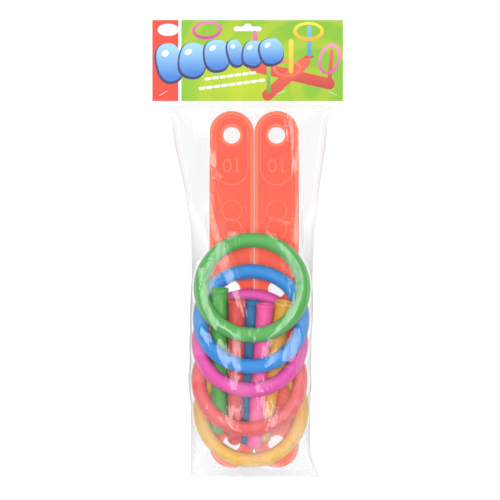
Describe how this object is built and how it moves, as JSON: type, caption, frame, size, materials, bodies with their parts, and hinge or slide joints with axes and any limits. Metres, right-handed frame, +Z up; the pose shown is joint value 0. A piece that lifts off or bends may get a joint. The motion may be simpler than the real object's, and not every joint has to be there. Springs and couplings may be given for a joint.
{
  "type": "ring toss set",
  "caption": "Ring toss garden game in its retail pack: notched cross arms, taper pegs and hollow throwing rings in a clear bag under a stapled header card.",
  "frame": {"origin": "bottom centre of the whole pack as it lies on its back", "axes": "+Y from the bag's foot to the header card, +Z up through the stack of rings, +X to the right seen from above"},
  "size_m": [0.22, 0.5292, 0.0905],
  "materials": {
    "arm_plastic": "satin",
    "green_plastic": "satin",
    "blue_plastic": "satin",
    "magenta_plastic": "satin",
    "red_plastic": "satin",
    "yellow_plastic": "satin",
    "clear_film": "gloss",
    "printed_card": "gloss",
    "staple_wire": "satin"
  },
  "bodies": {
    "arm_left": {"arm_left": "arm_plastic"},
    "arm_right": {"arm_right": "arm_plastic"},
    "bag": {"bag_film": "clear_film"},
    "header": {"header_card": "printed_card", "staples": "staple_wire"},
    "ring_green": {"ring_green": "green_plastic"},
    "ring_blue": {"ring_blue": "blue_plastic"},
    "ring_magenta": {"ring_magenta": "magenta_plastic"},
    "ring_red": {"ring_red": "red_plastic"},
    "ring_yellow": {"ring_yellow": "yellow_plastic"},
    "peg_green": {"peg_green": "green_plastic"},
    "peg_red": {"peg_red": "red_plastic"},
    "peg_blue": {"peg_blue": "blue_plastic"},
    "peg_magenta": {"peg_magenta": "magenta_plastic"},
    "peg_yellow": {"peg_yellow": "yellow_plastic"}
  },
  "joints": [
    {"name": "arm_right_slide", "type": "slide", "parent": "arm_left", "child": "arm_right", "axis": [1, 0, 0], "range_m": [0, 0.08]},
    {"name": "header_pull", "type": "slide", "parent": "arm_left", "child": "header", "axis": [0, 1, 0], "range_m": [0, 0.12]},
    {"name": "bag_pull", "type": "slide", "parent": "arm_left", "child": "bag", "axis": [0, -1, 0], "range_m": [0, 0.55], "deforming": ["bag_film"]},
    {"name": "ring_yellow_lift", "type": "slide", "parent": "arm_left", "child": "ring_yellow", "axis": [0, 0, 1], "range_m": [0, 0.1]},
    {"name": "ring_red_lift", "type": "slide", "parent": "ring_yellow", "child": "ring_red", "axis": [0, 0, 1], "range_m": [0, 0.1]},
    {"name": "ring_magenta_slide", "type": "slide", "parent": "ring_red", "child": "ring_magenta", "axis": [0, 0.9848, 0.1736], "range_m": [0, 0.2]},
    {"name": "ring_blue_slide", "type": "slide", "parent": "ring_magenta", "child": "ring_blue", "axis": [0, 0.9659, 0.2588], "range_m": [0, 0.14]},
    {"name": "ring_green_lift", "type": "slide", "parent": "ring_blue", "child": "ring_green", "axis": [0, 0, 1], "range_m": [0, 0.1]},
    {"name": "peg_green_slide", "type": "slide", "parent": "ring_magenta", "child": "peg_green", "axis": [0.0086, 0.9877, 0.1564], "range_m": [0, 0.36]},
    {"name": "peg_red_slide", "type": "slide", "parent": "ring_magenta", "child": "peg_red", "axis": [0.0172, 0.9875, 0.1564], "range_m": [0, 0.36]},
    {"name": "peg_blue_slide", "type": "slide", "parent": "ring_magenta", "child": "peg_blue", "axis": [0.0431, 0.9867, 0.1564], "range_m": [0, 0.36]},
    {"name": "peg_magenta_slide", "type": "slide", "parent": "ring_magenta", "child": "peg_magenta", "axis": [0.0775, 0.9846, 0.1564], "range_m": [0, 0.36]},
    {"name": "peg_yellow_slide", "type": "slide", "parent": "ring_magenta", "child": "peg_yellow", "axis": [0.1359, 0.9668, 0.2164], "range_m": [0, 0.36]}
  ]
}
